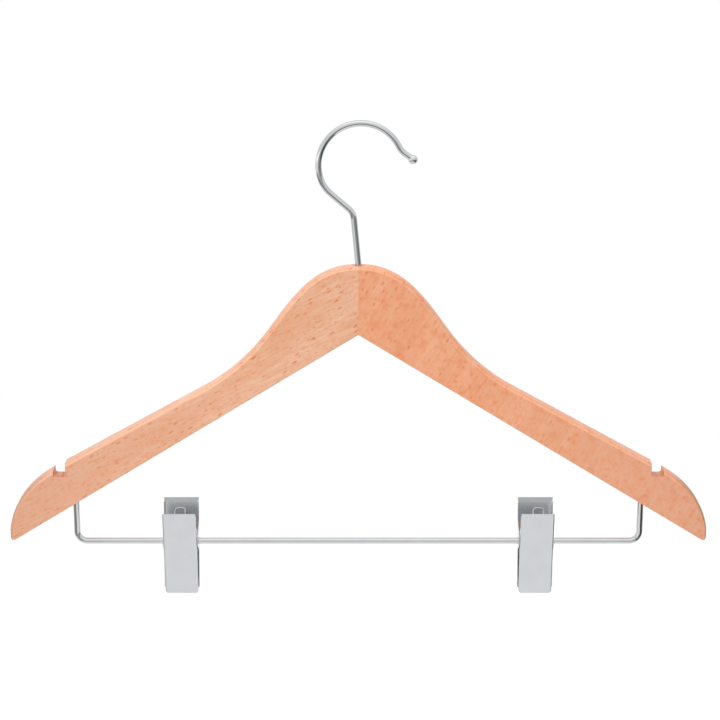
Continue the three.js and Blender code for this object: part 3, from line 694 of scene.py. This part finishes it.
def build_arm(side, finish):
    """An arm cut from flat board, its edges eased, bored for the hook and for the end of the bar."""
    hand = {"left": -1, "right": 1}[side]
    rows = arm_outline()
    half = ARM_THICKNESS / 2
    bm = bmesh.new()
    front = [bm.verts.new((hand * x, -half, z + crotch_z)) for (x, z), easing in rows]
    made = bmesh.ops.extrude_face_region(bm, geom=[bm.faces.new(front)])
    moved = [g for g in made["geom"] if isinstance(g, bmesh.types.BMVert)]
    bmesh.ops.translate(bm, verts=moved, vec=(0, ARM_THICKNESS, 0))
    weight = bm.edges.layers.float.new("bevel_weight_edge")
    back = [next(e.other_vert(v) for e in v.link_edges if e.other_vert(v) in moved) for v in front]
    for face in (front, back):
        for i, (point, easing) in enumerate(rows):
            edge = bm.edges.get((face[i], face[(i + 1) % len(rows)]))
            edge[weight] = easing / TOP_EASING
    arm = piece(f"{side}_arm_beech", bm, finish)
    bevel = arm.modifiers.new("easing", "BEVEL")
    bevel.limit_method = "WEIGHT"
    bevel.width = TOP_EASING * MM
    bevel.segments = EASING_SEGMENTS
    bevel.profile = EASING_PROFILE
    bevel.use_clamp_overlap = False
    applied(arm)

    bore = HOOK_WIRE / 2 + BORE_CLEARANCE
    counterbore = WASHER_DIAMETER / 2 + BORE_CLEARANCE
    below, above = crotch_z - HEAD_HEIGHT, crest_z + HEAD_HEIGHT
    leg_hole = round_bar(hinge_hole, bar_z, bar_high.z + BORE_CLEARANCE)
    bmesh.ops.translate(leg_hole, verts=leg_hole.verts, vec=(hand * leg_x, 0, 0))
    cut(arm, [
        piece("bore", round_bar(bore, below, above), None),
        piece("counterbore", round_bar(counterbore, below, crotch_z + COUNTERBORE_DEPTH), None),
        piece("leg_hole", leg_hole, None),
    ])
    arm.data.shade_smooth()
    arm.data.set_sharp_from_angle(angle=math.radians(SHARP_ARM_EDGE))
    flat_normals(arm)
    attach(arm, "hanger")
    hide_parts(f"{side}_arm")


# Hook, washer and bar

def build_hook():
    """The hook, bent from one wire from its headed lower end up to its ball tip."""
    stem_lean = math.radians(STEM_LEAN)
    neck_lean = math.radians(STEM_LEAN + NECK_TURN)
    upper_lean = math.radians(STEM_LEAN + NECK_TURN - LOWER_RING_TURN)
    neck_run = (
        (NECK_RADIUS + LOWER_RING_RADIUS) * math.cos(neck_lean)
        + (RING_RADIUS - LOWER_RING_RADIUS) * math.cos(upper_lean)
        - NECK_RADIUS * math.cos(stem_lean)
        - STEM_RISE * math.sin(stem_lean)
        - STEM_BEND_RADIUS * (1 - math.cos(stem_lean))
        - RING_OFFSET
    ) / math.sin(neck_lean)
    washer_top = crotch_z + COUNTERBORE_DEPTH - SEAT_GAP
    peen_top = washer_top - WASHER_THICKNESS - SEAT_GAP
    radius = HOOK_WIRE / 2

    bm = bmesh.new()
    ring, heading = bend(bm, (0, peen_top), 90, [
        {"run": crest_z - peen_top},
        {"turn": STEM_LEAN, "radius": STEM_BEND_RADIUS},
        {"run": STEM_RISE},
        {"turn": NECK_TURN, "radius": NECK_RADIUS},
        {"run": neck_run},
        {"turn": -LOWER_RING_TURN, "radius": LOWER_RING_RADIUS},
        {"turn": -MAIN_RING_TURN, "radius": RING_RADIUS},
        {"turn": FLICK_TURN, "radius": FLICK_RADIUS},
        {"run": FLICK_RUN},
    ], radius, WIRE_SIDES)
    swell(bm, ring, heading, radius, BALL_DIAMETER / 2)

    # The lower end, headed over under the washer
    foot = min(bm.verts, key=lambda v: v.co.z).co.z
    ring = ring_edges([v for v in bm.verts if v.co.z < foot + END_RING_HEIGHT])
    ring = wire_run(bm, ring, (0, 0, 0), PEENED_DIAMETER / HOOK_WIRE)
    width = PEENED_DIAMETER / 2
    for i in range(1, PEEN_RINGS):
        angle = math.radians(90 * i / PEEN_RINGS)
        last_angle = math.radians(90 * (i - 1) / PEEN_RINGS)
        narrower = PEENED_DIAMETER / 2 * math.cos(angle)
        drop = PEENED_HEIGHT * (math.sin(angle) - math.sin(last_angle))
        ring = wire_run(bm, ring, (0, 0, -drop), narrower / width)
        width = narrower
    bmesh.ops.holes_fill(bm, edges=bm.edges, sides=WIRE_SIDES)
    hook = piece("swivel_hook_wire", bm, chromed_wire, SHARP_ROUNDED_EDGE)
    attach(hook, "hook")
    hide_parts("swivel_hook")


def swell(bm, ring, heading, radius, ball):
    """Ends a wire in a ball, centred where the wire stops."""
    neck = math.asin(radius / ball)
    width, along = radius, 0
    for i in range(BALL_RINGS):
        angle = neck + (math.pi - neck) * i / BALL_RINGS
        wide = ball * math.sin(angle)
        place = -ball * math.cos(angle)
        ring = wire_run(bm, ring, facing(heading) * (place - along), wide / width)
        width, along = wide, place


def build_washer():
    """The washer in the counterbore, which the headed end of the hook hangs from."""
    top = crotch_z + COUNTERBORE_DEPTH - SEAT_GAP
    disc = round_bar(WASHER_DIAMETER / 2, top - WASHER_THICKNESS, top)
    washer = piece("hook_washer_disc", disc, spring_steel)
    hole = HOOK_WIRE / 2 + BORE_CLEARANCE
    cut(washer, [piece("washer_hole", round_bar(hole, top - HOOK_WIRE, top + HOOK_WIRE), None)])
    rounded(washer)
    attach(washer, "hanger")
    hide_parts("hook_washer")


def rounded(made):
    """Takes the burr off sharp edges."""
    made.data.shade_smooth()
    edge = made.modifiers.new("burr", "BEVEL")
    edge.width = BURR * MM
    edge.segments = BURR_SEGMENTS
    edge.limit_method = "ANGLE"
    edge.angle_limit = math.radians(BURR_ANGLE)
    applied(made)
    made.data.shade_smooth()
    made.data.set_sharp_from_angle(angle=math.radians(SHARP_ROUNDED_EDGE))
    flat_normals(made)


def build_bar():
    """The bar, bent from one wire: a leg down from the left arm, along, and up into the right arm."""
    leg_run = bar_high.z - bar_z - BAR_BEND_RADIUS
    bm = bmesh.new()
    bend(bm, (-leg_x, bar_high.z), -90, [
        {"run": leg_run},
        {"turn": 90, "radius": BAR_BEND_RADIUS},
        {"run": 2 * (leg_x - BAR_BEND_RADIUS)},
        {"turn": 90, "radius": BAR_BEND_RADIUS},
        {"run": leg_run},
    ], BAR_WIRE / 2, WIRE_SIDES)
    bmesh.ops.holes_fill(bm, edges=bm.edges, sides=WIRE_SIDES)
    bar = piece("clip_bar_wire", bm, chromed_wire, SHARP_ROUNDED_EDGE)
    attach(bar, "hanger")
    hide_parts("clip_bar")


# Clips

def channel(width):
    """Top view of the folded sheet: a plate and two side walls."""
    half = width / 2
    reach = ear_radius + SHEET
    fold_y = FOLD_RADIUS - jaw_outside
    inner = FOLD_RADIUS - SHEET
    row = [(-half, reach)]
    row += arc(FOLD_RADIUS - half, fold_y, FOLD_RADIUS, 180, 270, CORNER_STEPS)
    row += arc(half - FOLD_RADIUS, fold_y, FOLD_RADIUS, 270, 360, CORNER_STEPS)
    row += [(half, reach), (half - SHEET, reach)]
    row += arc(half - FOLD_RADIUS, fold_y, inner, 360, 270, CORNER_STEPS)
    row += arc(FOLD_RADIUS - half, fold_y, inner, 270, 180, CORNER_STEPS)
    return row + [(SHEET - half, reach)]


def jaw_profile(handle, jaw):
    """Side view: a folded rim on the handle, an ear round the bar and a tapering skirt below it."""
    rim_y = RIM_DEPTH - jaw_inside
    skirt_y = SKIRT_DEPTH - jaw_inside

    def touch(y, z, side):
        tangent = math.acos(ear_radius / math.hypot(y, z))
        return math.degrees(math.atan2(z, y) - side * tangent)

    low = touch(skirt_y, -EAR_END, -1)
    high = touch(rim_y, EAR_START, 1)
    row = [(-jaw_outside, -jaw), (SKIRT_END_DEPTH - jaw_inside, -jaw), (skirt_y, -EAR_END)]
    row += arc(0, 0, ear_radius, low, high, CURVE_STEPS)
    row += [(rim_y, EAR_START), (rim_y, handle - RIM_START - RIM_DEPTH)]
    return row + [(-jaw_inside, handle - RIM_START), (-jaw_inside, handle), (-jaw_outside, handle)]


def jaw_face(width, handle, jaw):
    """Front view, with the lower corners nipped off."""
    half = width / 2
    nipped = half - CORNER_CHAMFER
    return [
        (-half, handle),
        (-half, CORNER_CHAMFER - jaw),
        (-nipped, -jaw),
        (nipped, -jaw),
        (half, CORNER_CHAMFER - jaw),
        (half, handle),
    ]


def jaw_place(side, which):
    """Leans a jaw that stands upright at the origin, turns the back one round, and moves it to its clip."""
    turned = Matrix.Rotation(math.pi if which == "back" else 0, 4, "Z")
    leaning = Matrix.Rotation(jaw_lean, 4, "X")
    return Matrix.Translation(Vector((clip_x[side], 0, bar_z)) * MM) @ turned @ leaning


def build_jaw(side, which, width, handle, jaw):
    """A jaw folded from sheet: what a channel and its side and front views share, with a hole for the bar."""
    name = f"{side}_clip_{which}_jaw"
    spare = 2 * width
    folded = prism(channel(width), -jaw - SHEET, handle + SHEET, "Z")
    made = piece(f"{name}_sheet", folded, chromed_sheet)
    cut(made, [
        piece("profile", prism(jaw_profile(handle, jaw), -spare, spare, "X"), None),
        piece("face", prism(jaw_face(width, handle, jaw), -spare, spare, "Y"), None),
    ], "INTERSECT")
    hole = round_bar(hinge_hole, -spare, spare)
    bmesh.ops.rotate(hole, verts=hole.verts, matrix=Matrix.Rotation(math.radians(90), 3, "Y"))
    cut(made, [piece("hinge_hole", hole, None)])
    rounded(made)
    made.data.transform(jaw_place(side, which))
    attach(made, f"{side}_clip_{which}")
    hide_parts(name)


def build_pad(side, which):
    """A moulded grip glued inside the end of a jaw, flat where it meets the other one."""
    name = f"{side}_clip_{which}_pad"
    high = pad_low + PAD_HEIGHT

    def mouth_y(z):
        return (z * math.sin(jaw_lean) - MOUTH_GAP / 2) / math.cos(jaw_lean)

    back = PAD_GLUE - jaw_inside
    section = [(back, pad_low), (mouth_y(pad_low), pad_low), (mouth_y(high), high), (back, high)]
    bm = prism(section, -PAD_WIDTH / 2, PAD_WIDTH / 2, "X")
    bmesh.ops.recalc_face_normals(bm, faces=bm.faces)
    bmesh.ops.bevel(
        bm, geom=bm.edges, offset=PAD_ROUNDING, segments=PAD_SEGMENTS, profile=0.5,
        affect="EDGES", material=-1)
    pad = piece(f"{name}_vinyl", bm, vinyl, SHARP_PAD_EDGE)
    flat_normals(pad)
    pad.data.transform(jaw_place(side, which))
    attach(pad, f"{side}_clip_{which}")
    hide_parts(name)


def build_half_spring(side, hand):
    """Half a spring: its leg on the front jaw, its coil, and half of its loop on the back jaw."""
    inward = jaw_inside - SPRING_WIRE / 2 - SPRING_SEAT_GAP
    leg_y = -(inward / math.cos(jaw_lean) + LEG_REACH * math.tan(jaw_lean))
    loop_y = inward / math.cos(jaw_lean) + LOOP_REACH * math.tan(jaw_lean)
    leg_touch = math.atan2(LEG_REACH, leg_y) + math.acos(coil_radius / math.hypot(leg_y, LEG_REACH))
    loop_touch = math.atan2(LOOP_REACH, loop_y) - math.acos(coil_radius / math.hypot(loop_y, LOOP_REACH))
    sweep = loop_touch + 2 * math.pi * (COIL_TURNS + 1) - leg_touch
    loop_x = (LOOP_WIDTH - SPRING_WIRE) / 2
    coil_length = COIL_PITCH * sweep / (2 * math.pi)
    coil_start = -loop_x - coil_length

    bm = bmesh.new()
    leg_tip = Vector((coil_start, leg_y, LEG_REACH))
    on_coil = Vector((coil_start, coil_radius * math.cos(leg_touch), coil_radius * math.sin(leg_touch)))
    ring = wire_start(bm, leg_tip, on_coil - leg_tip, SPRING_WIRE / 2, SPRING_SIDES)
    ring = wire_run(bm, ring, on_coil - leg_tip)
    ring = wire_turn(bm, ring, (0, 0, 0), (1, 0, 0), math.degrees(sweep), coil_length)
    off_coil = Vector((-loop_x, coil_radius * math.cos(loop_touch), coil_radius * math.sin(loop_touch)))
    rise = Vector((-loop_x, loop_y, LOOP_REACH)) - off_coil
    upward = rise.normalized()
    ring = wire_run(bm, ring, upward * (rise.length - LOOP_CORNER))
    corner = off_coil + upward * (rise.length - LOOP_CORNER) + Vector((LOOP_CORNER, 0, 0))
    ring = wire_turn(bm, ring, corner, upward.cross(Vector((1, 0, 0))), 90)
    wire_run(bm, ring, (loop_x - LOOP_CORNER, 0, 0))
    bmesh.ops.holes_fill(bm, edges=bm.edges, sides=SPRING_SIDES)
    if hand > 0:
        bmesh.ops.scale(bm, vec=(-1, 1, 1), verts=bm.verts)
    middle = clip_x[side] + SPRING_SHIFT[side]
    bmesh.ops.translate(bm, verts=bm.verts, vec=(middle, 0, bar_z))
    half = {-1: "left", 1: "right"}[hand]
    spring = piece(f"{side}_clip_spring_{half}_half", bm, spring_steel, SHARP_ROUNDED_EDGE)
    start = Vector((middle - hand * coil_start, 0, bar_z)) * MM
    end = Vector((middle + hand * loop_x, 0, bar_z)) * MM
    return spring, start, end


def build_clip(side):
    """Both jaws with their pads, and the spring in two halves."""
    build_jaw(side, "front", FRONT_JAW_WIDTH, FRONT_HANDLE, FRONT_JAW)
    build_jaw(side, "back", back_jaw_width, BACK_HANDLE, BACK_JAW)
    for which in ("front", "back"):
        build_pad(side, which)
    for hand in (-1, 1):
        spring, start, end = build_half_spring(side, hand)
        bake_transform(spring)
        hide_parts(f"{side}_clip_spring")


build_arm("left", pale_beech)
build_arm("right", warm_beech)
build_hook()
build_washer()
build_bar()
for clip_side in ("left", "right"):
    build_clip(clip_side)


# Studio

FLOOR_Z = -0.4
FLOOR_FRONT = -0.5
FLOOR_BACK = 6.5
FLOOR_FRONT_HALF = 0.19
FLOOR_BACK_HALF = 1.2
FLOOR_FRONT_GLOW = 1
FLOOR_BACK_GLOW = 0.97
GLOW_CHANGE_START = -0.1
GLOW_CHANGE_END = 0


def build_floor():
    """A white floor under the hanger, as wide as the camera sees it."""
    bm = bmesh.new()
    bm.faces.new([bm.verts.new((x, y, FLOOR_Z)) for x, y in [
        (-FLOOR_FRONT_HALF, FLOOR_FRONT),
        (FLOOR_FRONT_HALF, FLOOR_FRONT),
        (FLOOR_BACK_HALF, FLOOR_BACK),
        (-FLOOR_BACK_HALF, FLOOR_BACK),
    ]])
    mesh = bpy.data.meshes.new("studio_floor")
    bm.to_mesh(mesh)
    bm.free()
    floor = bpy.data.objects.new("studio_floor", mesh)
    bpy.context.scene.collection.objects.link(floor)
    made, tree = material("white_studio_floor")
    place = node(tree, "ShaderNodeTexCoord").outputs["Object"]
    depth = node(tree, "ShaderNodeSeparateXYZ", {"Vector": place}).outputs["Y"]
    glow = node(tree, "ShaderNodeMapRange", {
        "Value": depth, "From Min": GLOW_CHANGE_START, "From Max": GLOW_CHANGE_END,
        "To Min": FLOOR_FRONT_GLOW, "To Max": FLOOR_BACK_GLOW}).outputs["Result"]
    shader = node(tree, "ShaderNodeBsdfPrincipled", {
        "Base Color": linear("#3A3A3A"), "Roughness": 0.9, "Specular IOR Level": 0,
        "Emission Color": linear("#FFFFFF"), "Emission Strength": glow})
    node(tree, "ShaderNodeOutputMaterial", {"Surface": shader.outputs["BSDF"]})
    mesh.materials.append(made)


# The room that lights the pieces and is mirrored in them, as changes along an axis of the direction: a dim
# strip beyond the floor's front edge, a light horizon, a light left side and a dim right one, and light walls
# under a bright ceiling
ROOM_BELOW = 0.45
ROOM = [
    {"axis": "Z", "start": -0.62, "end": -0.54, "level": 0.16},
    {"axis": "Z", "start": -0.35, "end": -0.27, "level": 0.5},
    {"axis": "Z", "start": -0.12, "end": -0.05, "level": 0.72},
    {"axis": "X", "start": -0.1, "end": -0.6, "gain": 2.1},
    {"axis": "X", "start": 0.05, "end": 0.6, "gain": 0.5},
    {"axis": "Z", "start": 0, "end": 0.15, "level": 0.95},
    {"axis": "Z", "start": 0.55, "end": 0.85, "level": 1.3},
    {"axis": "Y", "start": 0, "end": 0.3, "level": 0.95},
]


def build_world():
    """White to the camera; to the pieces, the room."""
    world = bpy.data.worlds.new("white_studio")
    bpy.context.scene.world = world
    world.use_nodes = True
    tree = world.node_tree
    tree.nodes.clear()
    way = node(tree, "ShaderNodeTexCoord").outputs["Generated"]
    axes = node(tree, "ShaderNodeSeparateXYZ", {"Vector": way})
    light = ROOM_BELOW
    for change in ROOM:
        low, high = (1, change["gain"]) if "gain" in change else (0, 1)
        share = node(tree, "ShaderNodeMapRange", {
            "Value": axes.outputs[change["axis"]], "From Min": change["start"], "From Max": change["end"],
            "To Min": low, "To Max": high}, interpolation_type="SMOOTHSTEP").outputs["Result"]
        if "gain" in change:
            light = node(tree, "ShaderNodeMath", {0: light, 1: share}, operation="MULTIPLY").outputs["Value"]
        else:
            light = node(tree, "ShaderNodeMix", {
                "Factor": share, "A": light, "B": change["level"]}).outputs["Result"]
    seen = node(tree, "ShaderNodeLightPath").outputs["Is Camera Ray"]
    strength = node(tree, "ShaderNodeMix", {"Factor": seen, "A": light, "B": 1}).outputs["Result"]
    sky = node(tree, "ShaderNodeBackground", {"Color": linear("#FFFFFF"), "Strength": strength})
    node(tree, "ShaderNodeOutputWorld", {"Surface": sky.outputs["Background"]})


# The key from the left and the fill from the right light the wood and aren't mirrored; the top one is
SOFTBOXES = [
    {"name": "key_softbox", "place": (-0.3, -1.25, 0.95), "aim": (0, 0, -0.12),
     "size": (0.9, 0.6), "power": 4.7, "mirrored": False},
    {"name": "fill_softbox", "place": (0.6, -1.1, 0.9), "aim": (0, 0, -0.12),
     "size": (0.7, 0.6), "power": 2, "mirrored": False},
    {"name": "top_softbox", "place": (0, -0.1, 1.2), "aim": (0, 0, -0.15),
     "size": (1.2, 0.35), "power": 0.6, "mirrored": True},
]


def build_softbox(name, place, aim, size, power, mirrored):
    """A rectangular lamp that faces its aim."""
    lamp = bpy.data.lights.new(name, "AREA")
    lamp.shape = "RECTANGLE"
    lamp.size, lamp.size_y = size
    lamp.energy = power
    made = bpy.data.objects.new(name, lamp)
    bpy.context.scene.collection.objects.link(made)
    made.location = place
    made.rotation_euler = (Vector(aim) - Vector(place)).to_track_quat("-Z", "Y").to_euler()
    made.visible_glossy = mirrored


CAMERA_TARGET = Vector((0.00103, 0, -0.1468))
CAMERA_DISTANCE = 1.1945
CAMERA_ELEVATION = math.radians(15.7)
SENSOR = 36
LENS = 95.35


def build_camera():
    """A camera in front of the hanger that looks slightly down at it."""
    lens = bpy.data.cameras.new("camera")
    lens.sensor_width = SENSOR
    lens.lens = LENS
    camera = bpy.data.objects.new("camera", lens)
    bpy.context.scene.collection.objects.link(camera)
    back = Vector((0, -math.cos(CAMERA_ELEVATION), math.sin(CAMERA_ELEVATION)))
    camera.location = CAMERA_TARGET + back * CAMERA_DISTANCE
    camera.rotation_euler = (math.pi / 2 - CAMERA_ELEVATION, 0, 0)
    bpy.context.scene.camera = camera


build_floor()
build_world()
for box in SOFTBOXES:
    build_softbox(**box)
build_camera()
bpy.context.scene.view_settings.view_transform = "Standard"
